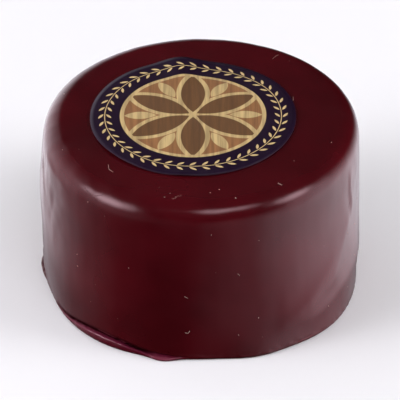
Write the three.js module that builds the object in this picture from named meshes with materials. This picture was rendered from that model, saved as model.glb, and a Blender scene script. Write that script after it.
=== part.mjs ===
// A small waxed cheese: a squat round of hard cheese dipped in burgundy wax, with a round paper label on top.
// Millimetres, +Z up. The foot stands on z = 0, the front faces -Y, and the origin is the bottom centre.
// An azimuth is an angle round the vertical axis, in degrees: 0 is the front, 90 the right, 180 the back.
import * as THREE from "three";
import { mergeVertices } from "three/addons/utils/BufferGeometryUtils.js";

// The waxed round
const CHEESE_RADIUS = 38;
const CHEESE_HEIGHT = 44.1; // from the foot to the rim of the crown
const CROWN_RISE = 0.5; // how far the middle of the crown stands above its rim
const CROWN_TILT = 0.4; // how far the rim is raised on its high side, and lowered on the other
const CROWN_TILT_AZIMUTH = 130; // where the rim is highest
const CROWN_HOLLOW = { azimuth: 168, halfAngle: 62, radius: 22, halfWidth: 13, depth: 0.8 }; // at the back
const CROWN_EDGE_RADIUS = 5.2;
const FOOT_EDGE_RADIUS = 0.9;

// The lip is wax that ran down, pooled round the foot and set as a thin flange
const LIP_CREASE_HEIGHT = 1.1; // of the crease where lip meets wall
const LIP_CREASE_ARCH = { azimuth: -42, halfAngle: 27, rise: 1.1, fade: 12 }; // it rises where wax pooled
const LIP_SHOULDER = 0.2; // the lip keeps its full reach to this far below its crease
const CREASE_DEPTH = 0.45; // how far the crease bites into the wall where the lip is full
const CREASE_HALF_HEIGHT = 0.35;
const LIP_RUNS = [
  { azimuth: -38, halfAngle: 34, out: 1.05 }, // the long run along the front left
  { azimuth: -13, halfAngle: 8, out: 1.35 }, // the heavy drip that ends it
  { azimuth: -92, halfAngle: 14, out: 0.9 }, // a short run at the left
  { azimuth: 158, halfAngle: 30, out: 0.6 }, // a thin run at the back
];

// Soft swellings (out is positive) and hollows in the wall, each one a smooth hill of the given half sizes
const WALL_SWELLS = [
  { azimuth: 50, height: 9, halfAngle: 40, halfHeight: 26, out: 1.8 }, // a low bulge at the front right
  { azimuth: 2, height: 0, halfAngle: 22, halfHeight: 12, out: -0.5 }, // the foot draws in at the front
  { azimuth: 21, height: 0, halfAngle: 16, halfHeight: 14, out: 0.8 }, // it spreads to the right of that
  { azimuth: 56, height: 0, halfAngle: 36, halfHeight: 12, out: 0.4 }, // and all along the right
  { azimuth: -76, height: 0, halfAngle: 27, halfHeight: 12, out: -0.6 }, // it draws in where the lip begins
  { azimuth: 122, height: 44, halfAngle: 56, halfHeight: 24, out: 0.6 }, // a full shoulder, back right
  { azimuth: -90, height: 26, halfAngle: 34, halfHeight: 11, out: 0.5 }, // a slack fold at the left side
  { azimuth: -90, height: 40, halfAngle: 34, halfHeight: 7, out: -0.45 }, // under a softer left shoulder
  { azimuth: 88, height: 18, halfAngle: 36, halfHeight: 26, out: 0.6 }, // the right side is full
  { azimuth: -9, height: 41, halfAngle: 13, halfHeight: 8, out: -0.35 }, // a dimple in the front shoulder
  { azimuth: -145, height: 18, halfAngle: 36, halfHeight: 18, out: -0.5 }, // a pressed flat at the back left
];

// The paper label
const LABEL_DIAMETER = 49.3;
const LABEL_THICKNESS = 0.3;
const LABEL_GAP = 0.15; // the film of adhesive between wax and paper
const LABEL_OFFSET = new THREE.Vector2(-1.5, 0.35); // it was stuck on a little off centre
const LABEL_LIFTS = [
  { azimuth: -172, halfAngle: 17, reach: 16, lift: 1.2 }, // a buckle in the far edge, over the hollow
  { azimuth: -48, halfAngle: 34, reach: 5, lift: 0.4 }, // the near left edge has come unstuck
  { azimuth: -4, halfAngle: 12, reach: 4, lift: 0.3 }, // and so has a short stretch at the front
];

// How finely the round and the label are divided
const WAX_SEGMENTS = 120;
const BASE_RINGS = 3;
const FOOT_RINGS = 4;
const LIP_RING_STEPS = [-0.1, 0, 0.1, 0.25, 0.5, 1]; // heights of the lip's rings above its crease
const WALL_RINGS = 8;
const SHOULDER_RINGS = 7;
const CROWN_RINGS = 7;
const LABEL_SEGMENTS = 72;
const LABEL_RINGS = 6;
const WELD_DISTANCE = 1e-4;

const WAX_COLOUR = "#44121a";
const WAX_ROUGHNESS = 0.35;
const PAPER_COLOUR = "#231a33";
const PAPER_ROUGHNESS = 0.45;

const { degToRad, radToDeg, smoothstep, lerp } = THREE.MathUtils;

// A smooth hill: 1 in the middle, 0 from one half width outwards.
function hill(distance, halfWidth) {
  const share = Math.min(1, Math.abs(distance) / halfWidth);
  return (1 + Math.cos(Math.PI * share)) / 2;
}

// The shorter way round from one azimuth to another, in degrees.
function turnBetween(azimuth, other) {
  return THREE.MathUtils.euclideanModulo(azimuth - other + 180, 360) - 180;
}

// The crown's height above the foot before it is tilted, a shallow dome that meets the shoulder level.
function crownHeight(radius) {
  const share = Math.min(1, radius / (CHEESE_RADIUS - CROWN_EDGE_RADIUS));
  return CHEESE_HEIGHT + CROWN_RISE * (1 - share * share) ** 2;
}

// How far the tilt of the crown lifts a point of it, less the drop into its hollow.
function crownLift(azimuth, radius) {
  const tilt = CROWN_TILT * (radius / CHEESE_RADIUS) * Math.cos(degToRad(azimuth - CROWN_TILT_AZIMUTH));
  const { depth, halfAngle, halfWidth } = CROWN_HOLLOW;
  const turned = hill(turnBetween(azimuth, CROWN_HOLLOW.azimuth), halfAngle);
  return tilt - depth * turned * hill(radius - CROWN_HOLLOW.radius, halfWidth);
}

// How far the arch of the crease lifts a point near the foot: most at the crease, less above and below it.
function archLift(azimuth, height) {
  const { halfAngle, rise, fade } = LIP_CREASE_ARCH;
  const arch = rise * hill(turnBetween(azimuth, LIP_CREASE_ARCH.azimuth), halfAngle);
  const below = Math.min(1, height / LIP_CREASE_HEIGHT);
  return arch * below * hill(Math.max(0, height - LIP_CREASE_HEIGHT), fade);
}

// How far the lip stands out of the wall at an azimuth, at its full reach.
function lipReach(azimuth) {
  const runs = LIP_RUNS.map((run) => run.out * hill(turnBetween(azimuth, run.azimuth), run.halfAngle));
  return runs.reduce((sum, out) => sum + out, 0);
}

// Everything that moves the wall in or out from a true cylinder at one azimuth and height.
function wallShift(azimuth, height) {
  const swells = WALL_SWELLS.map(
    (swell) =>
      swell.out *
      hill(turnBetween(azimuth, swell.azimuth), swell.halfAngle) *
      hill(height - swell.height, swell.halfHeight),
  );
  const reach = lipReach(azimuth);
  const lip = reach * (1 - smoothstep(height, LIP_CREASE_HEIGHT - LIP_SHOULDER, LIP_CREASE_HEIGHT));
  const crease = Math.min(1, reach) * CREASE_DEPTH * hill(height - LIP_CREASE_HEIGHT, CREASE_HALF_HEIGHT);
  return swells.reduce((sum, out) => sum + out, lip - crease);
}

// The half section of the round, from the middle of its foot to the middle of its crown.
function roundSection() {
  const points = [new THREE.Vector2(0, 0)];
  const footMiddle = CHEESE_RADIUS - FOOT_EDGE_RADIUS;
  for (let i = 1; i < BASE_RINGS; i++) points.push(new THREE.Vector2((footMiddle * i) / BASE_RINGS, 0));
  for (let i = 0; i <= FOOT_RINGS; i++) {
    const turn = (Math.PI / 2) * (i / FOOT_RINGS);
    const outward = FOOT_EDGE_RADIUS * Math.sin(turn);
    points.push(new THREE.Vector2(footMiddle + outward, FOOT_EDGE_RADIUS * (1 - Math.cos(turn))));
  }
  for (const step of LIP_RING_STEPS) points.push(new THREE.Vector2(CHEESE_RADIUS, LIP_CREASE_HEIGHT + step));
  const lipTop = points.at(-1).y;
  const shoulder = CHEESE_HEIGHT - CROWN_EDGE_RADIUS;
  for (let i = 1; i < WALL_RINGS; i++)
    points.push(new THREE.Vector2(CHEESE_RADIUS, lerp(lipTop, shoulder, i / WALL_RINGS)));
  const crownEdge = CHEESE_RADIUS - CROWN_EDGE_RADIUS;
  for (let i = 0; i <= SHOULDER_RINGS; i++) {
    const turn = (Math.PI / 2) * (i / SHOULDER_RINGS);
    const outward = CROWN_EDGE_RADIUS * Math.cos(turn);
    points.push(new THREE.Vector2(crownEdge + outward, shoulder + CROWN_EDGE_RADIUS * Math.sin(turn)));
  }
  for (let i = 1; i <= CROWN_RINGS; i++) {
    const radius = crownEdge * (1 - i / CROWN_RINGS);
    points.push(new THREE.Vector2(radius, crownHeight(radius)));
  }
  return points;
}

// Revolves a half section about the vertical axis and welds the seam and the poles.
function revolve(section, segments) {
  const turned = new THREE.LatheGeometry(section, segments).rotateX(Math.PI / 2);
  turned.deleteAttribute("normal");
  turned.deleteAttribute("uv");
  return mergeVertices(turned, WELD_DISTANCE);
}

// Moves every vertex by a function of its azimuth, radius and height that returns the new radius and height.
function reshape(geometry, place) {
  const position = geometry.getAttribute("position");
  const point = new THREE.Vector3();
  for (let i = 0; i < position.count; i++) {
    point.fromBufferAttribute(position, i);
    const radius = Math.hypot(point.x, point.y);
    const azimuth = radToDeg(Math.atan2(point.x, -point.y));
    const [newRadius, newHeight] = place(azimuth, radius, point.z);
    const share = radius > 0 ? newRadius / radius : 1;
    position.setXYZ(i, point.x * share, point.y * share, newHeight);
  }
  geometry.computeVertexNormals();
  return geometry;
}

// The waxed round: the revolved section, swollen, dented and lipped, its height sheared by the crown's lift.
function waxedCheese() {
  return reshape(revolve(roundSection(), WAX_SEGMENTS), (azimuth, radius, height) => {
    const nearWall = smoothstep(radius, CHEESE_RADIUS / 2, CHEESE_RADIUS - CROWN_EDGE_RADIUS);
    const lift = archLift(azimuth, height) + crownLift(azimuth, radius) * (height / CHEESE_HEIGHT);
    return [radius + wallShift(azimuth, height) * nearWall, height + lift];
  });
}

// The label: a thin disc that follows the crown, with its buckle and its loose edges.
function paperLabel() {
  const edge = LABEL_DIAMETER / 2;
  const section = [new THREE.Vector2(0, 0)];
  for (let i = 1; i <= LABEL_RINGS; i++) section.push(new THREE.Vector2((edge * i) / LABEL_RINGS, 0));
  for (let i = LABEL_RINGS; i >= 0; i--)
    section.push(new THREE.Vector2((edge * i) / LABEL_RINGS, LABEL_THICKNESS));
  return reshape(revolve(section, LABEL_SEGMENTS), (azimuth, radius, height) => {
    const turn = degToRad(azimuth);
    const x = LABEL_OFFSET.x + radius * Math.sin(turn);
    const y = LABEL_OFFSET.y - radius * Math.cos(turn);
    const crownRadius = Math.hypot(x, y);
    const crown = crownHeight(crownRadius) + crownLift(radToDeg(Math.atan2(x, -y)), crownRadius);
    const lifts = LABEL_LIFTS.map(
      (raised) =>
        raised.lift *
        hill(turnBetween(azimuth, raised.azimuth), raised.halfAngle) *
        smoothstep(radius, edge - raised.reach, edge),
    );
    return [radius, lifts.reduce((sum, lift) => sum + lift, crown + LABEL_GAP + height)];
  });
}

const wax = new THREE.Mesh(
  waxedCheese(),
  new THREE.MeshStandardMaterial({ color: WAX_COLOUR, roughness: WAX_ROUGHNESS, metalness: 0 }),
);
wax.name = "waxed_cheese";

const label = new THREE.Mesh(
  paperLabel(),
  new THREE.MeshStandardMaterial({ color: PAPER_COLOUR, roughness: PAPER_ROUGHNESS, metalness: 0 }),
);
label.name = "label";
label.position.set(LABEL_OFFSET.x, LABEL_OFFSET.y, 0);

// The pieces stand in an inner group, moved so that the bottom centre of the whole is the origin.
const pieces = new THREE.Group();
pieces.add(wax, label);
const bounds = new THREE.Box3().setFromObject(pieces);
const middle = bounds.getCenter(new THREE.Vector3());
pieces.position.set(-middle.x, -middle.y, -bounds.min.z);

const cheese = new THREE.Group();
cheese.add(pieces);
export default cheese;
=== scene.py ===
# %% [markdown]
# # A waxed cheese, dressed for its picture
# A small round of hard cheese is dipped in warm wax, set down to cool and given a paper label. The solids of
# the round and of its label are loaded first and stay where they are. Everything after that is looks: a finer
# skin for the wax, its folds and its lip, the printed label, the lint that clings to wax, and the light.

# %% Load the frame
import math

import bmesh
import bpy
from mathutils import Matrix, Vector
from mathutils.bvhtree import BVHTree


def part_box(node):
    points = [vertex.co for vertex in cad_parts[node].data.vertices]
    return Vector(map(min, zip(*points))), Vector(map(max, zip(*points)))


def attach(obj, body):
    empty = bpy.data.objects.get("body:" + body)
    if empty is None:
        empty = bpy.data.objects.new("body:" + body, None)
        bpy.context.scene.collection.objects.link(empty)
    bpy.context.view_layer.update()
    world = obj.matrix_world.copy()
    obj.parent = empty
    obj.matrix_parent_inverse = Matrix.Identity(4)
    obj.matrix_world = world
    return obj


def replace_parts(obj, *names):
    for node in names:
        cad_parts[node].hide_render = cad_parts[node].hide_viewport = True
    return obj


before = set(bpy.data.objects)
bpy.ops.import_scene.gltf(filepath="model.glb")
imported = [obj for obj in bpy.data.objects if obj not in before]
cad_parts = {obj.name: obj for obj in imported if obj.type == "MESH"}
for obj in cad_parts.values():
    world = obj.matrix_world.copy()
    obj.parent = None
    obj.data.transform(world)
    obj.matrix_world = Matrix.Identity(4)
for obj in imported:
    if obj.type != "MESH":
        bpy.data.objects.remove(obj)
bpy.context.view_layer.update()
scene = bpy.context.scene
MM = 0.001
print("solids", sorted(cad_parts))

# %% [markdown]
# ## The camera
# The photo was taken with a long lens, so the label's ellipse hardly narrows towards the back. A camera far
# away with a long focal length gives that flat look. The lens follows from the size that one metre at the
# cheese has in the picture, so no number here has to be found by trial.

# %% Camera at the photo's angle
CAMERA_ELEVATION = math.radians(35.1)
CAMERA_DISTANCE = 1.2
CAMERA_AIM = Vector((0.16, 0.0, 20.47)) * MM
PHOTO_PIXELS = 400
PIXELS_PER_METRE = 4142

towards_camera = Vector((0.0, -math.cos(CAMERA_ELEVATION), math.sin(CAMERA_ELEVATION)))
camera = bpy.data.objects.new("camera", bpy.data.cameras.new("camera"))
camera.data.lens = camera.data.sensor_width * PIXELS_PER_METRE * CAMERA_DISTANCE / PHOTO_PIXELS
camera.location = CAMERA_AIM + CAMERA_DISTANCE * towards_camera
camera.rotation_euler = towards_camera.to_track_quat("Z", "Y").to_euler()
scene.collection.objects.link(camera)
scene.camera = camera
print("lens", round(camera.data.lens), "mm")

# %% [markdown]
# ## A short way to write node trees
# Geometry Nodes and shader nodes share most of their arithmetic nodes. Adding and linking each by hand takes
# many lines, so this class has one short call for each kind of node used below. Every call returns the new
# node's output socket, which can go straight into the next call.

# %% Node writing
class Tree:
    """A node tree in which each call adds a node and returns its output."""

    def __init__(self, tree):
        self.tree = tree

    def node(self, kind, inputs=(), **settings):
        """Adds a node, with settings on the node and values or links on its inputs by name or number."""
        node = self.tree.nodes.new(kind)
        for name, value in settings.items():
            setattr(node, name, value)
        for key, value in dict(inputs).items():
            self.put(value, node.inputs[key])
        return node

    def put(self, value, socket):
        if isinstance(value, bpy.types.NodeSocket):
            self.tree.links.new(value, socket)
        else:
            socket.default_value = value

    def math(self, operation, *values):
        return self.node("ShaderNodeMath", enumerate(values), operation=operation).outputs[0]

    def vector(self, operation, *values):
        node = self.node("ShaderNodeVectorMath", enumerate(values), operation=operation)
        return node.outputs["Value" if operation in ("LENGTH", "DISTANCE", "DOT_PRODUCT") else "Vector"]

    def scaled(self, vector, factor):
        node = self.node("ShaderNodeVectorMath", {0: vector, "Scale": factor}, operation="SCALE")
        return node.outputs["Vector"]

    def parts(self, vector):
        return self.node("ShaderNodeSeparateXYZ", {0: vector}).outputs

    def xyz(self, x=0.0, y=0.0, z=0.0):
        return self.node("ShaderNodeCombineXYZ", {0: x, 1: y, 2: z}).outputs[0]

    def rise(self, value, low, high):
        """A smooth step from 0 at low to 1 at high; high may be the lower of the two."""
        inputs = {"Value": value, "From Min": low, "From Max": high}
        return self.node("ShaderNodeMapRange", inputs, interpolation_type="SMOOTHSTEP").outputs[0]

    def noise(self, vector, scale=1.0, detail=2.0, roughness=0.5):
        inputs = {"Vector": vector, "Scale": scale, "Detail": detail, "Roughness": roughness}
        return self.node("ShaderNodeTexNoise", inputs).outputs[0]

    def blend(self, factor, first, second):
        """Mixes two colours."""
        inputs = {0: factor, 6: first, 7: second}
        return self.node("ShaderNodeMix", inputs, data_type="RGBA").outputs[2]


def node_group(name, kind, inputs, outputs):
    """A new node group with typed sockets, and its input and output nodes."""
    group = bpy.data.node_groups.new(name, kind)
    for side, sockets in (("INPUT", inputs), ("OUTPUT", outputs)):
        for socket_name, socket_type in sockets.items():
            group.interface.new_socket(socket_name, in_out=side, socket_type="NodeSocket" + socket_type)
    given = group.nodes.new("NodeGroupInput")
    result = group.nodes.new("NodeGroupOutput")
    return group, Tree(group), given.outputs, result.inputs


print("node calls ready")

# %% [markdown]
# ## Working copies of the solids
# A solid arrives as loose triangles. To smooth it, its corners are welded and pairs of triangles are joined
# back into four-sided faces, which a subdivision surface turns into even curves. The solid itself is left
# alone: the copy becomes a new piece that stands for it.

# %% Welded copies
WELD_DISTANCE = 1e-6


def welded_copy(node, name):
    """A new object with a CAD node's surface, welded and mostly of four-sided faces."""
    work = bmesh.new()
    work.from_mesh(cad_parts[node].data)
    bmesh.ops.remove_doubles(work, verts=work.verts, dist=WELD_DISTANCE)
    flat = math.radians(40)
    bmesh.ops.join_triangles(work, faces=work.faces, angle_face_threshold=flat, angle_shape_threshold=flat)
    work.verts.index_update()
    mesh = bpy.data.meshes.new(name)
    mesh.from_pydata([v.co for v in work.verts], [], [[v.index for v in f.verts] for f in work.faces])
    work.free()
    piece = bpy.data.objects.new(name, mesh)
    scene.collection.objects.link(piece)
    return piece


def grow(piece, group, **values):
    """Runs a Geometry Nodes group on a piece with named input values and keeps the result as a plain mesh."""
    modifier = piece.modifiers.new(group.name, "NODES")
    modifier.node_group = group
    sockets = {s.name: s.identifier for s in group.interface.items_tree if s.in_out == "INPUT"}
    for name, value in values.items():
        modifier[sockets[name.replace("_", " ")]] = value
    evaluated = piece.evaluated_get(bpy.context.evaluated_depsgraph_get())
    mesh = bpy.data.meshes.new_from_object(evaluated)
    piece.modifiers.remove(modifier)
    piece.data = mesh
    print(piece.name, "has", sum(len(p.vertices) - 2 for p in mesh.polygons), "triangles")
    return piece


wax = welded_copy("waxed_cheese", "wax_coat")
label = welded_copy("label", "paper_label")
print("wax faces", len(wax.data.polygons), "label faces", len(label.data.polygons))

# %% [markdown]
# ## Folds in the wax
# Where a second coat ends, or wax slid before it set, the skin has a crest or a valley: a line that falls
# away on both sides, often faster on one than on the other. One group draws any such fold on the wall. It
# works on the wall unrolled flat, where a point has a place around the wall and a height, both in
# millimetres, so a fold is simply a slanting line. A valley is a crest with a negative rise.

# %% One fold, as a group
FOLD_BLUNTNESS = 0.15
FOLD_INPUTS = {
    "Around": "Float",
    "Height": "Float",
    "Middle Around": "Float",
    "Middle Height": "Float",
    "Direction": "Float",
    "Half Length": "Float",
    "Left Width": "Float",
    "Right Width": "Float",
    "Rise": "Float",
}


def fold_group():
    """A crest along a line through a middle point, with its own width on each side of the line."""
    group, t, given, result = node_group("wax fold", "GeometryNodeTree", FOLD_INPUTS, {"Lift": "Float"})
    around = t.math("SUBTRACT", given["Around"], given["Middle Around"])
    height = t.math("SUBTRACT", given["Height"], given["Middle Height"])
    angle = t.math("RADIANS", given["Direction"])
    cosine, sine = t.math("COSINE", angle), t.math("SINE", angle)
    along = t.math("ADD", t.math("MULTIPLY", around, cosine), t.math("MULTIPLY", height, sine))
    across = t.math("SUBTRACT", t.math("MULTIPLY", height, cosine), t.math("MULTIPLY", around, sine))
    on_left = t.math("GREATER_THAN", across, 0.0)
    wider = t.math("SUBTRACT", given["Left Width"], given["Right Width"])
    width = t.math("MULTIPLY_ADD", on_left, wider, given["Right Width"])
    blunted = t.math("SQRT", t.math("MULTIPLY_ADD", across, across, FOLD_BLUNTNESS**2))
    share = t.math("DIVIDE", t.math("SUBTRACT", blunted, FOLD_BLUNTNESS), width)
    slope = t.math("POWER", t.math("MAXIMUM", t.math("SUBTRACT", 1.0, share), 0.0), 2.0)
    fading_from = t.math("MULTIPLY", given["Half Length"], 0.4)
    ends = t.rise(t.math("ABSOLUTE", along), given["Half Length"], fading_from)
    t.put(t.math("MULTIPLY", t.math("MULTIPLY", slope, ends), given["Rise"]), result["Lift"])
    return group


wax_fold = fold_group()
print("fold group with", len(wax_fold.nodes), "nodes")

# %% [markdown]
# ## The lip along the foot
# The solid already has the lip of wax along the front left of its foot, with a crease above it and a heavy
# drip at its end. Part of the lip swelled a little higher than the solid has it, so this function works out
# how far the points there rise. It also gives four masks, so that the material can colour each part: the
# lip's face, its rounded edge, which gets its thinner wax and a painted highlight, the drip, which gets a
# painted highlight on its top, and the crease, which gets painted shade.

# %% Lip masks
FOOT_FLAT = 0.1  # below this height, in millimetres, the foot stays as it is
LIP_FROM, LIP_TO, LIP_FADE = -66, -8, 10  # the azimuths in degrees where the lip begins and ends
DRIP_AT, DRIP_HALF = -13, 7  # a heavy drip ends it, and closes the crease
CREASE_HEIGHT = 1.1  # of the crease above the lip, as in the solid
CREASE_ARCH_AT, CREASE_ARCH_HALF, CREASE_ARCH_RISE = -42, 27, 1.1  # and where it arches up, also as there
# The crease is darkened with painted shade from this far above it to this far below.
CREASE_SHADE_TOP, CREASE_SHADE_BOTTOM = 1.2, -0.35  # where its darkness ends on the wall above and on the lip below
LIP_RAISE_AT, LIP_RAISE_HALF, LIP_RAISE = -33, 26, 0.8  # here the lip swelled higher than the solid has it
LIP_RAISE_TOP = 10.0  # the wall above this height is as in the solid
BEAD_DROP = 0.20  # how far down the lip its rounded edge lies, as a share of the crease's height
BEAD_HALF_WIDTH, BEAD_FULL = 0.38, 0.12


def lip_fields(t, degrees, height):
    """How far the lip rises in millimetres, and the masks of its parts by name."""

    def hill(middle, half):
        """A smooth hill over the azimuth, from 0 at its foot to 1 in its middle."""
        away = t.math("MINIMUM", t.math("ABSOLUTE", t.math("SUBTRACT", degrees, middle)), half)
        wave = t.math("COSINE", t.math("MULTIPLY", away, math.pi / half))
        return t.math("MULTIPLY_ADD", wave, 0.5, 0.5)

    arch = hill(CREASE_ARCH_AT, CREASE_ARCH_HALF)
    crease_height = t.math("MULTIPLY_ADD", arch, CREASE_ARCH_RISE, CREASE_HEIGHT)
    swelling = t.math("MULTIPLY", hill(LIP_RAISE_AT, LIP_RAISE_HALF), LIP_RAISE)
    up_to_crease = t.rise(height, FOOT_FLAT, crease_height)
    past_crease = t.rise(height, LIP_RAISE_TOP, crease_height)
    lift = t.math("MULTIPLY", swelling, t.math("MULTIPLY", up_to_crease, past_crease))

    above_crease = t.math("SUBTRACT", height, t.math("ADD", crease_height, swelling))
    lip_start = t.rise(degrees, LIP_FROM - LIP_FADE / 2, LIP_FROM + LIP_FADE / 2)
    lip_end = t.rise(degrees, LIP_TO + LIP_FADE / 2, LIP_TO - LIP_FADE / 2)
    on_lip = t.math("MULTIPLY", lip_start, lip_end)
    face = t.math("MULTIPLY", t.rise(above_crease, 0.0, -0.2), on_lip)
    # The rounded edge's mask carries the thinner wax there and a painted highlight where the edge catches the
    # light.
    from_bead = t.math("ABSOLUTE", t.math("MULTIPLY_ADD", crease_height, BEAD_DROP, above_crease))
    bead_and_highlight = t.math("MULTIPLY", t.rise(from_bead, BEAD_HALF_WIDTH, BEAD_FULL), on_lip)
    # The drip's mask is a painted highlight on the top of the drip.
    from_drip = t.math("ABSOLUTE", t.math("SUBTRACT", degrees, DRIP_AT))
    drip = t.math("MULTIPLY", t.rise(from_drip, DRIP_HALF, DRIP_HALF / 4), face)
    # The crease's mask is painted shade, fading out up the wall and down onto the lip.
    crease_shade_top = t.rise(above_crease, CREASE_SHADE_TOP, -0.1)
    crease_shade_bottom = t.rise(above_crease, CREASE_SHADE_BOTTOM, -0.05)
    before_drip = t.math("MULTIPLY", on_lip, t.rise(degrees, DRIP_AT, DRIP_AT - LIP_FADE))
    crease = t.math("MULTIPLY", t.math("MULTIPLY", crease_shade_top, crease_shade_bottom), before_drip)
    return lift, {"lip": face, "lip_bead_thin_wax_and_highlight": bead_and_highlight, "lip_drip_painted_highlight": drip, "lip_crease_painted_shade": crease}


print("lip from", LIP_FROM, "to", LIP_TO, "degrees")

# %% [markdown]
# ## The wax skin
# The real surface is never a true cylinder: the coat slumps in broad waves, keeps faint vertical runs from
# dripping, and is lumpy on the shoulders and where it pooled at the foot. All of these and the folds are
# small moves along the normal, so they are worked out as lifts that can be added up.

# %% Lifts of the wax
WALL_RADIUS = 38.0
FOLDS = {
    # name: azimuth, height, direction, half length, left width, right width, rise
    "front edge of the left coat": (-68, 28, -84, 15, 6, 12, 0.14),
    "top edge of the left coat": (-66, 39.5, -10, 9, 1.5, 7, 0.20),
    "notch at the left": (-79, 33.5, -65, 6, 2, 5, 0.22),
    "hollow at the left": (-67, 29, 70, 7, 4, 4, -0.15),
    "low edge of the left coat": (-92, 4.2, 180, 9, 5, 1.5, 0.25),
    "upper ridge on the right": (60.6, 21, 51, 13, 10, 7, 0.46),
    "middle ridge on the right": (46.5, 15.2, 38, 12, 4, 5, 0.18),
    "lower ridge on the right": (41.5, 11.2, 25, 13, 9, 5, 0.30),
    "turn of the foot on the right": (59, 10, 11, 24, 12, 8, 0.60),
    "torn edge on the right": (70, 32, 90, 7, 1.2, 6, 0.25),
    "fold at the back left": (-150, 24, 105, 18, 3, 11, 0.35),
    "fold at the back right": (140, 14, -160, 20, 3, 10, 0.40),
}
LUMPY_PATCHES = {
    # name: azimuth, height, radius
    "left shoulder": (-76, 31, 18),
    "left rim": (-44, 42, 7),
    "right shoulder": (72, 33, 10),
}
RUN_SCALE = (0.2, 0.2, 0.03)  # runs are long upright streaks
POOL_TOP, POOL_FULL = 3.0, 1.5  # heights between which the lumps of the foot fade out
FOLD_WANDER, FOLD_WANDER_SCALE = 1.2, 0.16  # how far a fold strays from its line, and how quickly


def centred(t, noise, depth):
    """A noise as a lift that goes as far down as up."""
    return t.math("MULTIPLY", t.math("SUBTRACT", noise, 0.5), t.math("MULTIPLY", depth, 2.0))


def uneven_lift(t, given, point, around, height):
    """The slumps and runs all over the wax, and the lumps on the patches and at the foot."""
    seed = t.xyz(given["Seed"], given["Seed"], given["Seed"])

    def waves(place, detail, depth):
        return centred(t, t.noise(t.vector("ADD", place, seed), detail=detail), given[depth])

    slumps = waves(t.vector("DIVIDE", point, t.xyz(*[given["Slump Width"]] * 3)), 2.0, "Slump Depth")
    runs = waves(t.vector("MULTIPLY", point, RUN_SCALE), 1.0, "Run Depth")
    lumps = waves(t.vector("DIVIDE", point, t.xyz(*[given["Lump Width"]] * 3)), 1.0, "Lump Depth")
    pool = waves(t.scaled(point, 0.7), 2.0, "Bead Lumps")
    lumpiness = 0.0
    for patch_azimuth, patch_height, patch_radius in LUMPY_PATCHES.values():
        patch_at = (math.radians(patch_azimuth) * WALL_RADIUS, patch_height, 0)
        away = t.vector("DISTANCE", t.xyz(around, height), patch_at)
        lumpiness = t.math("MAXIMUM", lumpiness, t.rise(away, patch_radius, patch_radius / 3))
    lift = t.math("MULTIPLY_ADD", lumps, lumpiness, t.math("ADD", slumps, runs))
    return t.math("MULTIPLY_ADD", pool, t.rise(height, POOL_TOP, POOL_FULL), lift)


def folded_lift(t, point, around, height):
    """All folds together, each straying a little from its line."""
    wander = centred(t, t.noise(t.scaled(point, FOLD_WANDER_SCALE), detail=1.0), FOLD_WANDER)
    place = [t.math("ADD", around, wander), t.math("ADD", height, wander)]
    lift = 0.0
    for name, (fold_azimuth, fold_height, *shape) in FOLDS.items():
        fold = t.node("GeometryNodeGroup", node_tree=wax_fold, label=name)
        middle = [math.radians(fold_azimuth) * WALL_RADIUS, fold_height]
        for value, socket in zip(place + middle + shape, fold.inputs):
            t.put(value, socket)
        lift = t.math("ADD", lift, fold.outputs["Lift"])
    return lift


print(len(FOLDS), "folds and", len(LUMPY_PATCHES), "lumpy patches")

# %% [markdown]
# ## Putting the skin together
# One Geometry Nodes tree smooths the welded copy, moves its points by the sum of the lifts, and keeps the
# lip's masks with them. The foot and the patch under the label stay as they are, so that the cheese stands
# flat and the paper lies flat.

# %% Wax skin
FOOT_FREE = 1.0  # above this height the foot may move freely
LABEL_CLEAR_FROM, LABEL_CLEAR = 0.2, 5.0  # distances from the label over which the lifts set in
WAX_INPUTS = {
    "Geometry": "Geometry",
    "Subdivisions": "Int",
    "Slump Depth": "Float",
    "Slump Width": "Float",
    "Run Depth": "Float",
    "Lump Depth": "Float",
    "Lump Width": "Float",
    "Bead Lumps": "Float",
    "Seed": "Float",
    "Label Centre": "Vector",
    "Label Radius": "Float",
    "Material": "Material",
}


def wax_skin_group():
    group, t, given, result = node_group("wax skin", "GeometryNodeTree", WAX_INPUTS, {"Geometry": "Geometry"})
    smooth = t.node("GeometryNodeSubdivisionSurface", {0: given["Geometry"], "Level": given["Subdivisions"]})
    point = t.scaled(t.node("GeometryNodeInputPosition").outputs[0], 1 / MM)
    x, y, height = t.parts(point)
    azimuth = t.math("ARCTAN2", x, t.math("MULTIPLY", y, -1.0))
    around = t.math("MULTIPLY", azimuth, WALL_RADIUS)

    uneven = uneven_lift(t, given, point, around, height)
    lift = t.math("ADD", uneven, folded_lift(t, point, around, height))
    from_label = t.vector("DISTANCE", t.xyz(x, y), given["Label Centre"])
    past_label = t.math("SUBTRACT", from_label, given["Label Radius"])
    clear_of_label = t.rise(past_label, LABEL_CLEAR_FROM, LABEL_CLEAR)
    above_foot = t.rise(height, FOOT_FLAT, FOOT_FREE)
    lift = t.math("MULTIPLY", t.math("MULTIPLY", lift, clear_of_label), above_foot)
    lip_lift, marks = lip_fields(t, t.math("DEGREES", azimuth), height)
    offset = t.scaled(t.node("GeometryNodeInputNormal").outputs[0], lift)
    offset = t.scaled(t.vector("ADD", offset, t.xyz(0.0, 0.0, lip_lift)), MM)
    moved = t.node("GeometryNodeSetPosition", {"Geometry": smooth.outputs[0], "Offset": offset})

    marked = moved
    for name, value in marks.items():
        inputs = {"Geometry": marked.outputs[0], "Name": name, "Value": value}
        marked = t.node("GeometryNodeStoreNamedAttribute", inputs)
    shaded = t.node("GeometryNodeSetShadeSmooth", {0: marked.outputs[0], "Shade Smooth": True})
    whole = t.node("GeometryNodeRealizeInstances", {0: shaded.outputs[0]})
    painted = t.node("GeometryNodeSetMaterial", {0: whole.outputs[0], "Material": given["Material"]})
    t.put(painted.outputs[0], result[0])
    return group


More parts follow.
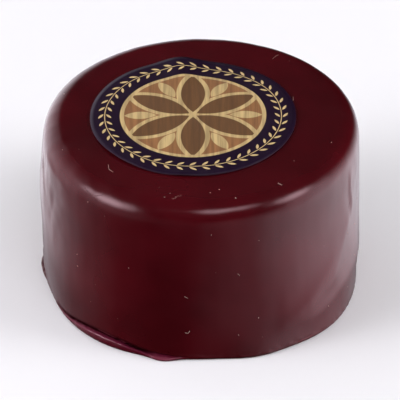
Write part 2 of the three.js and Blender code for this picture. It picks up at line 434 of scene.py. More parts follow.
label_low, label_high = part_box("label")
label_centre = (label_low + label_high) / 2
label_radius = (label_high.x - label_low.x) / 2
wax_material = bpy.data.materials.new("burgundy_wax")
grow(
    wax,
    wax_skin_group(),
    Subdivisions=2,
    Slump_Depth=0.22,
    Slump_Width=17.0,
    Run_Depth=0.06,
    Lump_Depth=0.17,
    Lump_Width=5.0,
    Bead_Lumps=0.22,
    Seed=3.7,
    Label_Centre=Vector((label_centre.x, label_centre.y, 0)) / MM,
    Label_Radius=label_radius / MM,
    Material=wax_material,
)
wax_tree = BVHTree.FromPolygons([v.co for v in wax.data.vertices], [p.vertices for p in wax.data.polygons])
print("label radius", round(label_radius / MM, 2), "mm")

# %% [markdown]
# ## Finding a place in the photo on the real surface
# Cracks and bits of lint are easiest to point at in the picture. A pixel is turned into a ray from the
# camera, and the ray's first hit on the wax is the place, so whatever is put there sits on the surface from
# every side and not only from the camera.

# %% Pixels to places
lens_in_pixels = PIXELS_PER_METRE * CAMERA_DISTANCE
camera_turn = camera.rotation_euler.to_matrix()


def on_wax(pixel_x, pixel_y):
    """The place on the wax that shows at a pixel of the photo, and the surface normal there."""
    half = PHOTO_PIXELS / 2
    ray = camera_turn @ Vector((pixel_x - half, half - pixel_y, -lens_in_pixels))
    place, normal, _, _ = wax_tree.ray_cast(camera.location, ray.normalized())
    return place, normal


print("front of the rim at", [round(c / MM, 1) for c in on_wax(200, 212)[0]], "mm")

# %% [markdown]
# ## Handling haze
# Anything that has been picked up carries faint cloudy patches where skin and packing rubbed it. Both the wax
# and the label show them, so the effect is one shader group that returns a mask, and each material decides
# what the mask does.

# %% Haze group
def haze_group():
    group, t, given, result = node_group(
        "handling haze",
        "ShaderNodeTree",
        {"Position": "Vector", "Patch Size": "Float", "Amount": "Float"},
        {"Mask": "Float"},
    )
    patch_at = t.vector("DIVIDE", given["Position"], t.xyz(*[given["Patch Size"]] * 3))
    patches = t.rise(t.noise(patch_at, detail=1.0), 0.40, 0.80)
    streaks = t.noise(t.vector("MULTIPLY", given["Position"], (0.16, 0.16, 0.05)), detail=1.0)
    mask = t.math("MULTIPLY", t.math("MULTIPLY", patches, t.rise(streaks, 0.25, 0.75)), given["Amount"])
    t.put(mask, result["Mask"])
    return group


handling_haze = haze_group()
print("haze group with", len(handling_haze.nodes), "nodes")

# %% [markdown]
# ## The wax finish
# Cheese wax is a deep, nearly black red that only looks lighter where it mirrors something. So its own colour
# is very dark, and its gloss does the rest. It is a little uneven in depth, thinner and more purple along
# the lip, cloudy where it was handled, and has fine cracks on the rim and the shoulders. The colour also
# carries painted light: painted shade in the cracks and in the crease above the lip, and painted highlights
# on the lip's rounded edge and on the top of its drip. A crease between two layers of wax only mirrors more
# wax. The shader gets that effect from the metallic input, which tints a reflection with the crease's painted
# shade, so the crease stays dark from every side.

# %% Wax material
WAX_DEEP = (0.036, 0.0013, 0.0027, 1)
WAX_BRIGHT = (0.056, 0.0022, 0.0044, 1)
LIP_DEEP = (0.060, 0.0036, 0.0095, 1)
# the thinner wax of the lip's rounded edge, with a painted highlight on it
LIP_EDGE_THIN_WAX_AND_HIGHLIGHT = (0.082, 0.0065, 0.021, 1)
# a painted highlight on the top of the drip
DRIP_PAINTED_HIGHLIGHT = (0.140, 0.026, 0.044, 1)
# painted shade, for the crease above the lip and for the cracks
RECESS_PAINTED_SHADE = (0.026, 0.0010, 0.0028, 1)
WAX_CLOUD = (0.060, 0.012, 0.014, 1)
WAX_GLINT = (1.0, 0.70, 0.73, 1)
SCUFF = (0.240, 0.110, 0.100, 1)
CRACKS_IN_PHOTO = {
    "left rim": ((84.0, 187.0), (93.0, 197.0)),
    "left rim, second": ((93.0, 197.0), (103.0, 194.5)),
    "left shoulder": ((46.5, 170.5), (52.0, 184.5)),
    "left shoulder, second": ((52.0, 184.5), (59.5, 187.0)),
    "right shoulder": ((349.5, 178.0), (352.0, 194.0)),
    "right shoulder, second": ((352.0, 194.0), (347.4, 211.4)),
}
SCUFF_IN_PHOTO = ((172.5, 198.6), (180.5, 195.6))
CRACK_HALF_WIDTH, SCUFF_HALF_WIDTH = 0.06, 0.20
CRACK_PAINTED_SHADE, CRACK_DEPTH, CRACK_WANDER = 0.4, 0.03, 0.9
SCUFF_STRENGTH = 0.7
LIP_TINT = 0.9
WAX_HAZE_SIZE, WAX_HAZE_AMOUNT = 16.0, 0.5
WAX_HAZE_COLOUR, WAX_HAZE_ROUGHNESS = 0.2, 0.16
WAX_SMOOTHEST, WAX_UNEVEN = 0.11, 0.10  # the least roughness, and how much it varies
WAX_IOR = 1.5
SKIN_DEPTH = 0.012


def line_mask(t, point, pixels, half_width):
    """1 within a thin line on the wax between two pixels of the photo; sizes in millimetres."""
    start, end = (on_wax(*pixel)[0] / MM for pixel in pixels)
    span = end - start
    offset = t.vector("SUBTRACT", point, tuple(start))
    share = t.math("DIVIDE", t.vector("DOT_PRODUCT", offset, tuple(span)), span.length_squared)
    share = t.node("ShaderNodeClamp", {0: share}).outputs[0]
    away = t.vector("SUBTRACT", offset, t.scaled(t.xyz(*span), share))
    return t.rise(t.vector("LENGTH", away), 2 * half_width, half_width)


def paint_wax(material):
    material.use_nodes = True
    t = Tree(material.node_tree)
    shader = material.node_tree.nodes["Principled BSDF"]
    point = t.scaled(t.node("ShaderNodeTexCoord").outputs["Object"], 1 / MM)
    depth = t.noise(point, scale=0.045, detail=3.0)
    colour = t.blend(t.rise(depth, 0.3, 0.7), WAX_DEEP, WAX_BRIGHT)
    # Each lip mask blends in its colour: thinner purple wax on the face, a painted highlight on the rounded
    # edge and on the drip, painted shade in the crease.
    tints = {"lip": LIP_DEEP, "lip_bead_thin_wax_and_highlight": LIP_EDGE_THIN_WAX_AND_HIGHLIGHT, "lip_drip_painted_highlight": DRIP_PAINTED_HIGHLIGHT, "lip_crease_painted_shade": RECESS_PAINTED_SHADE}
    for name, tint in tints.items():
        mark = t.node("ShaderNodeAttribute", attribute_name=name).outputs["Fac"]
        mask = t.math("MULTIPLY", mark, LIP_TINT)
        colour = t.blend(mask, colour, tint)
    t.put(mask, shader.inputs["Metallic"])
    haze_inputs = {"Position": point, "Patch Size": WAX_HAZE_SIZE, "Amount": WAX_HAZE_AMOUNT}
    haze = t.node("ShaderNodeGroup", haze_inputs, node_tree=handling_haze).outputs["Mask"]
    colour = t.blend(t.math("MULTIPLY", haze, WAX_HAZE_COLOUR), colour, WAX_CLOUD)

    noise = t.node("ShaderNodeTexNoise", {"Vector": point, "Scale": 0.9}).outputs["Color"]
    wandering = t.vector("ADD", point, t.scaled(t.vector("SUBTRACT", noise, (0.5, 0.5, 0.5)), CRACK_WANDER))
    cracks = 0.0
    for pixels in CRACKS_IN_PHOTO.values():
        cracks = t.math("MAXIMUM", cracks, line_mask(t, wandering, pixels, CRACK_HALF_WIDTH))
    # Painted shade darkens the cracks, which the bump below also cuts in.
    colour = t.blend(t.math("MULTIPLY", cracks, CRACK_PAINTED_SHADE), colour, RECESS_PAINTED_SHADE)
    scuff = line_mask(t, wandering, SCUFF_IN_PHOTO, SCUFF_HALF_WIDTH)
    scuff = t.math("MULTIPLY", scuff, t.rise(t.noise(point, scale=3.0), 0.35, 0.65))
    colour = t.blend(t.math("MULTIPLY", scuff, SCUFF_STRENGTH), colour, SCUFF)
    t.put(colour, shader.inputs["Base Color"])

    uneven = t.noise(point, scale=0.12, detail=3.0)
    rough = t.math("MULTIPLY_ADD", uneven, WAX_UNEVEN, WAX_SMOOTHEST)
    t.put(t.math("MULTIPLY_ADD", haze, WAX_HAZE_ROUGHNESS, rough), shader.inputs["Roughness"])
    shader.inputs["IOR"].default_value = WAX_IOR
    shader.inputs["Specular Tint"].default_value = WAX_GLINT

    skin = t.math("MULTIPLY", t.noise(point, scale=0.35, detail=1.0), SKIN_DEPTH)
    height = t.math("MULTIPLY_ADD", cracks, -CRACK_DEPTH, skin)
    bump = t.node("ShaderNodeBump", {"Strength": 1.0, "Distance": MM, "Height": height})
    t.put(bump.outputs[0], shader.inputs["Normal"])


paint_wax(wax_material)
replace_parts(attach(wax, "root"), "waxed_cheese")
print("wax painted with", len(wax_material.node_tree.nodes), "nodes")

# %% [markdown]
# ## The paper label
# The label is a die-cut disc of coated paper. Paper can't stretch over a crown, so it cockles a little, and
# where it came loose its edge stands up. The solid already has its big buckle and its loose edges. This tree
# smooths them, keeps the cut edge crisp by creasing it, adds faint cockles, and marks the cut edge, where ink
# has soaked into the core of the paper.

# %% Label sheet
SHARP_BEND = 0.8  # radians; an edge bent more than this is a cut
EDGE_SLOPE = 0.6  # a face whose normal rises less than this belongs to the cut edge
LABEL_INPUTS = {
    "Geometry": "Geometry",
    "Subdivisions": "Int",
    "Cockle Depth": "Float",
    "Cockle Width": "Float",
    "Material": "Material",
}


def label_group():
    sheet = {"Geometry": "Geometry"}
    group, t, given, result = node_group("paper label", "GeometryNodeTree", LABEL_INPUTS, sheet)
    bend = t.node("GeometryNodeInputMeshEdgeAngle").outputs["Unsigned Angle"]
    folded = t.math("GREATER_THAN", bend, SHARP_BEND)
    smooth = t.node(
        "GeometryNodeSubdivisionSurface",
        {0: given["Geometry"], "Level": given["Subdivisions"], "Edge Crease": folded},
    )
    point = t.scaled(t.node("GeometryNodeInputPosition").outputs[0], 1 / MM)
    across = t.vector("DIVIDE", t.vector("MULTIPLY", point, (1, 1, 0)), t.xyz(*[given["Cockle Width"]] * 3))
    cockle = t.math("MULTIPLY", t.noise(across, detail=1.0), given["Cockle Depth"])
    offset = t.xyz(0.0, 0.0, t.math("MULTIPLY", cockle, MM))
    moved = t.node("GeometryNodeSetPosition", {"Geometry": smooth.outputs[0], "Offset": offset})
    upright = t.math("ABSOLUTE", t.parts(t.node("GeometryNodeInputNormal").outputs[0])[2])
    edge = t.node(
        "GeometryNodeStoreNamedAttribute",
        {"Geometry": moved.outputs[0], "Name": "cut_edge", "Value": t.math("LESS_THAN", upright, EDGE_SLOPE)},
        domain="FACE",
    )
    painted = t.node("GeometryNodeSetMaterial", {0: edge.outputs[0], "Material": given["Material"]})
    whole = t.node("GeometryNodeRealizeInstances", {0: painted.outputs[0]})
    t.put(whole.outputs[0], result[0])
    return group


label_material = bpy.data.materials.new("printed_paper")
grow(label, label_group(), Subdivisions=2, Cockle_Depth=0.10, Cockle_Width=6.0, Material=label_material)
for polygon in label.data.polygons:
    polygon.use_smooth = abs(polygon.normal.z) > EDGE_SLOPE

# %% [markdown]
# ## The print
# The label is a navy ring round a warm picture in the colours of inlaid wood. The picture here is a compass
# rosette, the six-petalled figure that a pair of compasses draws by itself, and the ring carries a garland of
# grain. Both are built from one shape, a leaf between two arcs, repeated by folding the angle round the
# centre. Distances are in millimetres, so each line of the print has a real width.

# %% Print helpers
PRINT_EDGE = 0.07


def leaf(t, along, across, half_length, half_width):
    """How far a point is outside a leaf between two arcs; negative inside."""
    offset = (half_length**2 - half_width**2) / (2 * half_width)
    side = t.math("ADD", t.math("ABSOLUTE", across), offset)
    return t.math("SUBTRACT", t.vector("LENGTH", t.xyz(along, side)), offset + half_width)


def inked(t, distance, reach=0.0):
    """1 where a distance is below a reach, with an edge as soft as print."""
    return t.rise(distance, reach + PRINT_EDGE, reach - PRINT_EDGE)


def folded_angle(t, angle, count, shift=0.0):
    """The angle from the nearest of count equal spokes."""
    step = 2 * math.pi / count
    nearest = t.math("ROUND", t.math("DIVIDE", t.math("SUBTRACT", angle, shift), step))
    return t.math("SUBTRACT", t.math("SUBTRACT", angle, shift), t.math("MULTIPLY", nearest, step))


print("print helpers ready")

# %% Label material
NAVY = (0.0105, 0.0030, 0.0125, 1)
NAVY_WORN = (0.016, 0.006, 0.020, 1)
CREAM = (0.62, 0.455, 0.205, 1)
TAN = (0.315, 0.147, 0.058, 1)
WALNUT = (0.155, 0.076, 0.031, 1)
PAPER_CORE = (0.026, 0.014, 0.024, 1)
PICTURE_RADIUS = 17.5
PETALS = 6
PETAL_MIDDLE, PETAL_HALF_LENGTH, PETAL_HALF_WIDTH = 9.0, 8.0, 2.9
PETAL_LINE = 1.15
BUD_MIDDLE, BUD_HALF_LENGTH, BUD_HALF_WIDTH = 12.6, 3.9, 1.5
GARLAND_RADIUS = 21.1
GRAINS = 44
GRAIN_HALF_LENGTH, GRAIN_HALF_WIDTH = 1.05, 0.33
GRAIN_OUT, GRAIN_LEAN = 0.95, math.radians(36)
STEM_HALF_WIDTH = 0.10
RIM_HALF_WIDTH = 0.5
GRAIN_STRENGTH = 0.95
VENEER_DARK = (0.060, 0.032, 0.018, 1)
STREAK_SCALE = (0.9, 0.045, 0)  # long streaks towards the back, like the figure of wood
STREAK_STRENGTH = 0.5
LABEL_CLOUD = (0.10, 0.08, 0.10, 1)
LABEL_HAZE_SIZE, LABEL_HAZE_AMOUNT = 12.0, 0.5
LABEL_HAZE_COLOUR, LABEL_HAZE_ROUGHNESS = 0.08, 0.15
PAPER_SMOOTHEST, PAPER_UNEVEN = 0.34, 0.12
PAPER_IOR, PAPER_SPECULAR = 1.42, 0.25
FIBRE_DEPTH = 0.012


def rosette(t, radius, angle):
    """Masks of the picture: the dark petals, and the pale lines and buds."""

    def petal(shift, middle, half_length, half_width):
        turn = folded_angle(t, angle, PETALS, shift)
        along = t.math("SUBTRACT", t.math("MULTIPLY", radius, t.math("COSINE", turn)), middle)
        return leaf(t, along, t.math("MULTIPLY", radius, t.math("SINE", turn)), half_length, half_width)

    upright = math.pi / 2
    large = petal(upright, PETAL_MIDDLE, PETAL_HALF_LENGTH, PETAL_HALF_WIDTH)
    bud = petal(upright + math.pi / PETALS, BUD_MIDDLE, BUD_HALF_LENGTH, BUD_HALF_WIDTH)
    dark = inked(t, large)
    pale = t.math("SUBTRACT", inked(t, large, PETAL_LINE), dark)
    pale = t.math("MAXIMUM", pale, inked(t, bud))
    from_rim = t.math("ABSOLUTE", t.math("SUBTRACT", radius, PICTURE_RADIUS - RIM_HALF_WIDTH))
    return dark, t.math("MAXIMUM", pale, inked(t, from_rim, RIM_HALF_WIDTH))


def garland(t, radius, angle):
    """A mask of grain slanting off a thin stem, on both sides of it."""
    turn = folded_angle(t, angle, GRAINS)
    out = t.math("ABSOLUTE", t.math("SUBTRACT", radius, GARLAND_RADIUS))
    step = t.math("MULTIPLY", turn, GARLAND_RADIUS)
    away = t.math("SUBTRACT", out, GRAIN_OUT)
    cosine, sine = math.cos(GRAIN_LEAN), math.sin(GRAIN_LEAN)
    along = t.math("ADD", t.math("MULTIPLY", step, cosine), t.math("MULTIPLY", away, sine))
    across = t.math("SUBTRACT", t.math("MULTIPLY", away, cosine), t.math("MULTIPLY", step, sine))
    grain = inked(t, leaf(t, along, across, GRAIN_HALF_LENGTH, GRAIN_HALF_WIDTH))
    return t.math("MAXIMUM", grain, inked(t, out, STEM_HALF_WIDTH))


def paint_label(material):
    material.use_nodes = True
    t = Tree(material.node_tree)
    shader = material.node_tree.nodes["Principled BSDF"]
    coordinates = t.node("ShaderNodeTexCoord").outputs["Object"]
    centred = t.vector("SUBTRACT", coordinates, tuple(label_centre))
    point = t.vector("MULTIPLY", centred, (1 / MM, 1 / MM, 0))
    x, y, _ = t.parts(point)
    radius = t.vector("LENGTH", point)
    angle = t.math("ARCTAN2", y, x)

    streaks = t.noise(t.vector("MULTIPLY", point, STREAK_SCALE), detail=4.0, roughness=0.6)
    streaks = t.rise(streaks, 0.3, 0.7)
    streaked = t.math("MULTIPLY", streaks, STREAK_STRENGTH)
    dark, pale = rosette(t, radius, angle)
    picture = t.blend(pale, t.blend(dark, TAN, WALNUT), CREAM)
    veneer = t.blend(streaked, picture, VENEER_DARK)
    ring = t.blend(streaked, NAVY, NAVY_WORN)
    ring = t.blend(t.math("MULTIPLY", garland(t, radius, angle), GRAIN_STRENGTH), ring, CREAM)
    colour = t.blend(inked(t, radius, PICTURE_RADIUS), ring, veneer)

    haze_inputs = {"Position": point, "Patch Size": LABEL_HAZE_SIZE, "Amount": LABEL_HAZE_AMOUNT}
    haze = t.node("ShaderNodeGroup", haze_inputs, node_tree=handling_haze).outputs["Mask"]
    colour = t.blend(t.math("MULTIPLY", haze, LABEL_HAZE_COLOUR), colour, LABEL_CLOUD)
    edge = t.node("ShaderNodeAttribute", attribute_name="cut_edge").outputs["Fac"]
    colour = t.blend(edge, colour, PAPER_CORE)
    t.put(colour, shader.inputs["Base Color"])

    fibre = t.noise(point, scale=2.2, detail=4.0, roughness=0.6)
    rough = t.math("MULTIPLY_ADD", fibre, PAPER_UNEVEN, PAPER_SMOOTHEST)
    t.put(t.math("MULTIPLY_ADD", haze, LABEL_HAZE_ROUGHNESS, rough), shader.inputs["Roughness"])
    shader.inputs["IOR"].default_value = PAPER_IOR
    shader.inputs["Specular IOR Level"].default_value = PAPER_SPECULAR
    height = t.math("MULTIPLY", t.math("ADD", fibre, streaked), FIBRE_DEPTH)
    bump = t.node("ShaderNodeBump", {"Strength": 1.0, "Distance": MM, "Height": height})
    t.put(bump.outputs[0], shader.inputs["Normal"])


paint_label(label_material)
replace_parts(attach(label, "root"), "label")
print("label painted with", len(label_material.node_tree.nodes), "nodes")

# %% [markdown]
# ## Lint on the wax
# Soft wax picks up whatever touches it: short threads of packing and pale crumbs. The threads that stand out
# in the photo are drawn as short lines of pixels, laid on the surface and turned into fine tubes by one tree.
# The crumbs have no pattern, so a second tree scatters them over the wax with a fixed seed.

# %% Threads
THREADS_IN_PHOTO = {
    "bent thread on the crown": ((108.4, 165.0), (109.0, 169.2), (113.2, 172.2)),
    "thread at the far rim": ((272.6, 59.2), (276.0, 56.2), (278.6, 55.0)),
    "thread at the near right": ((277.8, 183.2), (279.6, 184.0), (281.6, 185.4)),
    "hook low on the front": ((185.4, 332.6), (188.0, 333.2), (189.8, 330.6)),
    "thread on the front": ((237.6, 273.6), (238.8, 274.6), (239.8, 275.8)),
    "thread above the foot": ((184.6, 296.6), (186.2, 297.4), (188.0, 298.2)),
    "thread by the label": ((293.0, 97.0), (293.2, 99.0), (293.0, 100.6)),
}
THREAD_RADIUS = 0.05
THREAD_LIFT = 0.05
THREAD_INPUTS = {"Geometry": "Geometry", "Radius": "Float", "Material": "Material"}


def thread_group():
    tubes = {"Geometry": "Geometry"}
    group, t, given, result = node_group("threads", "GeometryNodeTree", THREAD_INPUTS, tubes)
    line = t.node("GeometryNodeMeshToCurve", {0: given["Geometry"]})
    curved = t.node("GeometryNodeCurveSplineType", {0: line.outputs[0]}, spline_type="CATMULL_ROM")
    round_section = t.node("GeometryNodeCurvePrimitiveCircle", {"Resolution": 6, "Radius": given["Radius"]})
    tube = t.node(
        "GeometryNodeCurveToMesh",
        {"Curve": curved.outputs[0], "Profile Curve": round_section.outputs[0], "Fill Caps": True},
    )
    whole = t.node("GeometryNodeRealizeInstances", {0: tube.outputs[0]})
    painted = t.node("GeometryNodeSetMaterial", {0: whole.outputs[0], "Material": given["Material"]})
    t.put(painted.outputs[0], result[0])
    return group


def thread_lines():
    """One object of bare edges that follow the threads over the wax."""
    places, edges = [], []
    for pixels in THREADS_IN_PHOTO.values():
        first = len(places)
        for pixel in pixels:
            place, normal = on_wax(*pixel)
            places.append(place + normal * THREAD_LIFT * MM)
        edges += [(i, i + 1) for i in range(first, len(places) - 1)]
    mesh = bpy.data.meshes.new("lint_threads")
    mesh.from_pydata(places, edges, [])
    threads = bpy.data.objects.new("lint_threads", mesh)
    scene.collection.objects.link(threads)
    return threads


lint_material = bpy.data.materials.new("pale_lint")
threads = grow(thread_lines(), thread_group(), Radius=THREAD_RADIUS * MM, Material=lint_material)

# %% Crumbs
CRUMB_SHAPE = (1.0, 0.55, 0.4)
CRUMBS_ABOVE = 3 * MM  # the foot stays clean
CRUMB_SPIN_SEED = 5
CRUMB_INPUTS = {
    "Geometry": "Geometry",
    "Per Square Metre": "Float",
    "Smallest": "Float",
    "Largest": "Float",
    "Seed": "Int",
    "Label Centre": "Vector",
    "Label Radius": "Float",
    "Material": "Material",
}


def crumb_group():
    group, t, given, result = node_group("crumbs", "GeometryNodeTree", CRUMB_INPUTS, {"Geometry": "Geometry"})
    x, y, z = t.parts(t.node("GeometryNodeInputPosition").outputs[0])
    from_label = t.vector("DISTANCE", t.xyz(x, y), given["Label Centre"])
    off_label = t.math("GREATER_THAN", from_label, given["Label Radius"])
    free = t.math("MULTIPLY", off_label, t.math("GREATER_THAN", z, CRUMBS_ABOVE))
    scattered = t.node(
        "GeometryNodeDistributePointsOnFaces",
        {
            "Mesh": given["Geometry"],
            "Selection": free,
            "Density": given["Per Square Metre"],
            "Seed": given["Seed"],
        },
    )
    crumb = t.node("GeometryNodeMeshIcoSphere", {"Radius": 0.5, "Subdivisions": 2})
    squashed = t.node("GeometryNodeTransform", {"Geometry": crumb.outputs[0], "Scale": CRUMB_SHAPE})
    size = t.node(
        "FunctionNodeRandomValue",
        {2: given["Smallest"], 3: given["Largest"], "Seed": given["Seed"]},
        data_type="FLOAT",
    )
    full_turn = {2: 0.0, 3: 2 * math.pi, "Seed": CRUMB_SPIN_SEED}
    spin = t.node("FunctionNodeRandomValue", full_turn, data_type="FLOAT")
    turned = t.node(
        "FunctionNodeRotateRotation",
        {0: scattered.outputs["Rotation"], 1: t.xyz(0.0, 0.0, spin.outputs[1])},
        rotation_space="LOCAL",
    )
    placed = t.node(
        "GeometryNodeInstanceOnPoints",
        {
            "Points": scattered.outputs["Points"],
            "Instance": squashed.outputs[0],
            "Rotation": turned.outputs[0],
            "Scale": t.xyz(*[size.outputs[1]] * 3),
        },
    )
    whole = t.node("GeometryNodeRealizeInstances", {0: placed.outputs[0]})
    painted = t.node("GeometryNodeSetMaterial", {0: whole.outputs[0], "Material": given["Material"]})
    t.put(painted.outputs[0], result[0])
    return group


crumbs = bpy.data.objects.new("lint_crumbs", wax.data)
scene.collection.objects.link(crumbs)
grow(
    crumbs,
    crumb_group(),
    Per_Square_Metre=5500.0,
    Smallest=0.15 * MM,
    Largest=0.42 * MM,
    Seed=11,
    Label_Centre=Vector((label_centre.x, label_centre.y, 0)),
    Label_Radius=label_radius + MM,
    Material=lint_material,
)

# %% Lint material
LINT_PALE = (0.46, 0.32, 0.27, 1)
LINT_BROWN = (0.20, 0.10, 0.085, 1)


def paint_lint(material):
    material.use_nodes = True
    t = Tree(material.node_tree)
    shader = material.node_tree.nodes["Principled BSDF"]
    point = t.scaled(t.node("ShaderNodeTexCoord").outputs["Object"], 1 / MM)
    pale = t.rise(t.noise(point, scale=0.3), 0.35, 0.65)
    t.put(t.blend(pale, LINT_BROWN, LINT_PALE), shader.inputs["Base Color"])
    t.put(t.math("MULTIPLY_ADD", t.noise(point, scale=4.0), 0.2, 0.7), shader.inputs["Roughness"])


paint_lint(lint_material)
for lint in (threads, crumbs):
    for polygon in lint.data.polygons:
        polygon.use_smooth = True
    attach(lint, "root")
print("lint painted with", len(lint_material.node_tree.nodes), "nodes")

# %% [markdown]
# ## The floor
# The floor that the camera sees is plain and pale. A mirrored ray passes through it to the surroundings set
# up in the next step. It is only dimmed close to the wall, where a real table lies in shade.

# %% Floor
FLOOR_HALF_SIZE = 3.0
FLOOR_PALE = (0.86, 0.86, 0.86, 1)
FLOOR_SHADE = (0.82, 0.82, 0.82, 1)
SHADE_FROM, SHADE_TO = 2.0, 22.0  # millimetres from the wall
SHADE_LEFT = 0.40  # the light left at the wall
SHADE_FRONT, SHADE_FULL = -34.0, -14.0  # there is none in front of the cheese

floor_mesh = bpy.data.meshes.new("floor")
corners = [(sx * FLOOR_HALF_SIZE, sy * FLOOR_HALF_SIZE, 0) for sx, sy in ((-1, -1), (1, -1), (1, 1), (-1, 1))]
floor_mesh.from_pydata(corners, [], [(0, 1, 2, 3)])
floor = bpy.data.objects.new("floor", floor_mesh)
scene.collection.objects.link(floor)
floor_material = bpy.data.materials.new("pale_floor")
floor_material.use_nodes = True
t = Tree(floor_material.node_tree)
floor_shader = floor_material.node_tree.nodes["Principled BSDF"]
place = t.node("ShaderNodeTexCoord").outputs["Object"]
grain = t.noise(place, scale=3.0)
t.put(t.blend(grain, FLOOR_SHADE, FLOOR_PALE), floor_shader.inputs["Base Color"])
floor_shader.inputs["Roughness"].default_value = 0.9
floor_shader.inputs["Specular IOR Level"].default_value = 0.0
x, y, _ = t.parts(t.scaled(place, 1 / MM))
off_wall = t.math("SUBTRACT", t.vector("LENGTH", t.xyz(x, y)), WALL_RADIUS)
lost = t.math("MULTIPLY", t.rise(off_wall, SHADE_TO, SHADE_FROM), t.rise(y, SHADE_FRONT, SHADE_FULL))
kept = t.math("SUBTRACT", 1.0, t.math("MULTIPLY", lost, 1 - SHADE_LEFT))
seen_through = t.node("ShaderNodeBsdfTransparent", {"Color": t.xyz(kept, kept, kept)})
mirrored = t.node("ShaderNodeLightPath").outputs["Is Glossy Ray"]
both = t.node("ShaderNodeMixShader", {0: mirrored, 1: floor_shader.outputs[0], 2: seen_through.outputs[0]})
t.put(both.outputs[0], floor_material.node_tree.nodes["Material Output"].inputs["Surface"])
floor_mesh.materials.append(floor_material)
floor.visible_diffuse = False
floor.visible_shadow = False
print("floor", 2 * FLOOR_HALF_SIZE, "m square")

# %% [markdown]
# ## What the wax mirrors
# The front of the wax is nearly black while its sides turn silvery. A standing wall seen from above mirrors
# the table, so the table must have been dark in front of the cheese and bright to the sides and behind. The
# world holds that pattern as a few named directions, and the brightness changes smoothly between them. Three
# soft windows in it draw the broken highlight along the rim.

# %% World for reflections
SURROUNDINGS = {
    # name: direction in degrees with the camera at 0 and +X at 90, brightness there, the sines of the
    # elevations where it sets in, where it is full and where it ends, and how softly it ends
    "behind": (-180, 0.55, -0.92, -0.35, 0.10, 0.5),
    "left of behind": (-160, 1.90, -0.92, -0.35, 0.38, 0.8),
    "back left": (-125, 1.80, -0.94, -0.27, 0.45, 1.0),
    "left": (-105, 1.26, -0.96, -0.03, 0.57, 0.7),
    "below the left window": (-75, 1.10, -0.80, 0.30, 0.60, 0.5),
    "front left": (-62, 0.55, -0.68, -0.12, 0.50, 0.6),
    "dark front left": (-30, 0.12, -0.64, -0.10, 0.35, 0.4),
    "dark front": (-10, 0.06, -0.70, -0.40, 0.00, 0.3),
    "front right": (35, 0.50, -1.10, -0.35, 0.10, 0.5),
    "right of the front": (55, 1.20, -1.15, -0.35, 0.05, 0.7),
    "below the right window": (80, 2.05, -1.05, -0.35, 0.70, 0.4),
    "right": (105, 2.20, -0.92, -0.35, 0.12, 0.9),
    "back right": (147, 1.80, -0.92, -0.35, -0.26, 0.4),
    "right of behind": (172, 0.90, -0.92, -0.40, -0.42, 0.4),
}
WINDOWS = {
    # name: direction, elevation, half width and half height in degrees, brightness
    "left window": (-68, 27, 30, 25, 8.9),
    "right window": (72, 33, 22, 20, 6.4),
    "top window": (20, 57, 48, 17, 5.2),
}
DARKEST = 0.01
CEILING = 0.03  # the dim room above the windows
CEILING_FROM, CEILING_FULL = 0.30, 0.60  # sines of elevations
SINE_SHIFT = 1.5  # a ramp's colours can't be negative, so all its values are kept raised by this
TINT = (1.0, 0.97, 1.05)

world = bpy.data.worlds.new("studio")
scene.world = world
world.use_nodes = True
t = Tree(world.node_tree)
dx, dy, dz = t.parts(t.node("ShaderNodeTexCoord").outputs["Generated"])
turn = t.math("ARCTAN2", dx, t.math("MULTIPLY", dy, -1.0))


def by_direction(*columns):
    """Some columns of the table, as three values that change smoothly with the direction."""
    ramp = t.node("ShaderNodeValToRGB", {0: t.math("MULTIPLY_ADD", turn, 0.5 / math.pi, 0.5)})
    rows = list(SURROUNDINGS.values())
    rows.append((rows[0][0] + 360, *rows[0][1:]))
    stops = ramp.color_ramp.elements
    while len(stops) < len(rows):
        stops.new(0.5)
    for stop, row in zip(stops, rows):
        stop.position = row[0] / 360 + 0.5
        stop.color = (*[row[column] + SINE_SHIFT for column in columns], 1)
    separated = t.node("ShaderNodeSeparateColor", {0: ramp.outputs[0]}).outputs
    return [t.math("SUBTRACT", value, SINE_SHIFT) for value in separated]


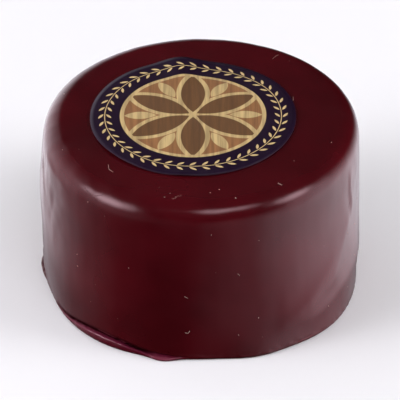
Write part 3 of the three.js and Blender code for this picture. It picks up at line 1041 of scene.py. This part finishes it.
brightness, sets_in, full = by_direction(1, 2, 3)
top, fade, _ = by_direction(4, 5, 5)
half_fade = t.math("MULTIPLY", fade, 0.5)
below_top = t.rise(dz, t.math("ADD", top, half_fade), t.math("SUBTRACT", top, half_fade))
reach = t.math("MULTIPLY", below_top, t.rise(dz, sets_in, full))
ceiling = t.math("MULTIPLY_ADD", t.rise(dz, CEILING_FROM, CEILING_FULL), CEILING, DARKEST)
light = t.math("MULTIPLY_ADD", brightness, reach, ceiling)
elevation = t.math("ARCSINE", dz)
for degrees, height, half_width, half_height, strength in WINDOWS.values():
    aside = t.math("DIVIDE", t.math("SUBTRACT", turn, math.radians(degrees)), math.radians(half_width))
    above = t.math("DIVIDE", t.math("SUBTRACT", elevation, math.radians(height)), math.radians(half_height))
    glow = t.rise(t.vector("LENGTH", t.xyz(aside, above)), 1.0, 0.0)
    light = t.math("MULTIPLY_ADD", glow, strength, light)
camera_ray = t.node("ShaderNodeLightPath").outputs["Is Camera Ray"]
colour = t.scaled(TINT, light)
t.put(t.blend(camera_ray, colour, (1, 1, 1, 1)), world.node_tree.nodes["Background"].inputs["Color"])
print("surroundings with", len(SURROUNDINGS), "directions and", len(WINDOWS), "windows")

# %% [markdown]
# ## Light that isn't mirrored
# A broad sky light gives the even shading of a studio, and two low cards brighten the sides of the wall a
# little. None of them shows in the wax, because the surroundings already draw its reflections.

# %% Lights
LIGHT_DISTANCE = 0.7
SIDE_CARDS = {"left card": (-80, 2.6), "right card": (78, 3.0)}  # direction, and power in watts
CARD_WIDTH, CARD_HEIGHT, CARD_RISE = 0.4, 0.2, 0.14
SKY_STRENGTH = 0.88


def soft_box(name, direction, width, height, power):
    lamp = bpy.data.lights.new(name, "AREA")
    lamp.shape = "RECTANGLE"
    lamp.size, lamp.size_y, lamp.energy = width, height, power
    box = bpy.data.objects.new(name, lamp)
    aim = Vector(direction).normalized()
    box.location = CAMERA_AIM + LIGHT_DISTANCE * aim
    box.rotation_euler = aim.to_track_quat("Z", "Y").to_euler()
    scene.collection.objects.link(box)
    return box


for name, (degrees, power) in SIDE_CARDS.items():
    turn = math.radians(degrees)
    low = (math.sin(turn), -math.cos(turn), CARD_RISE)
    card = soft_box(name, low, CARD_WIDTH, CARD_HEIGHT, power)
    card.visible_glossy = False
sky = bpy.data.objects.new("sky", bpy.data.lights.new("sky", "SUN"))
sky.data.energy = SKY_STRENGTH
sky.data.angle = math.pi
sky.visible_glossy = False
scene.collection.objects.link(sky)
scene.view_settings.view_transform = "Standard"
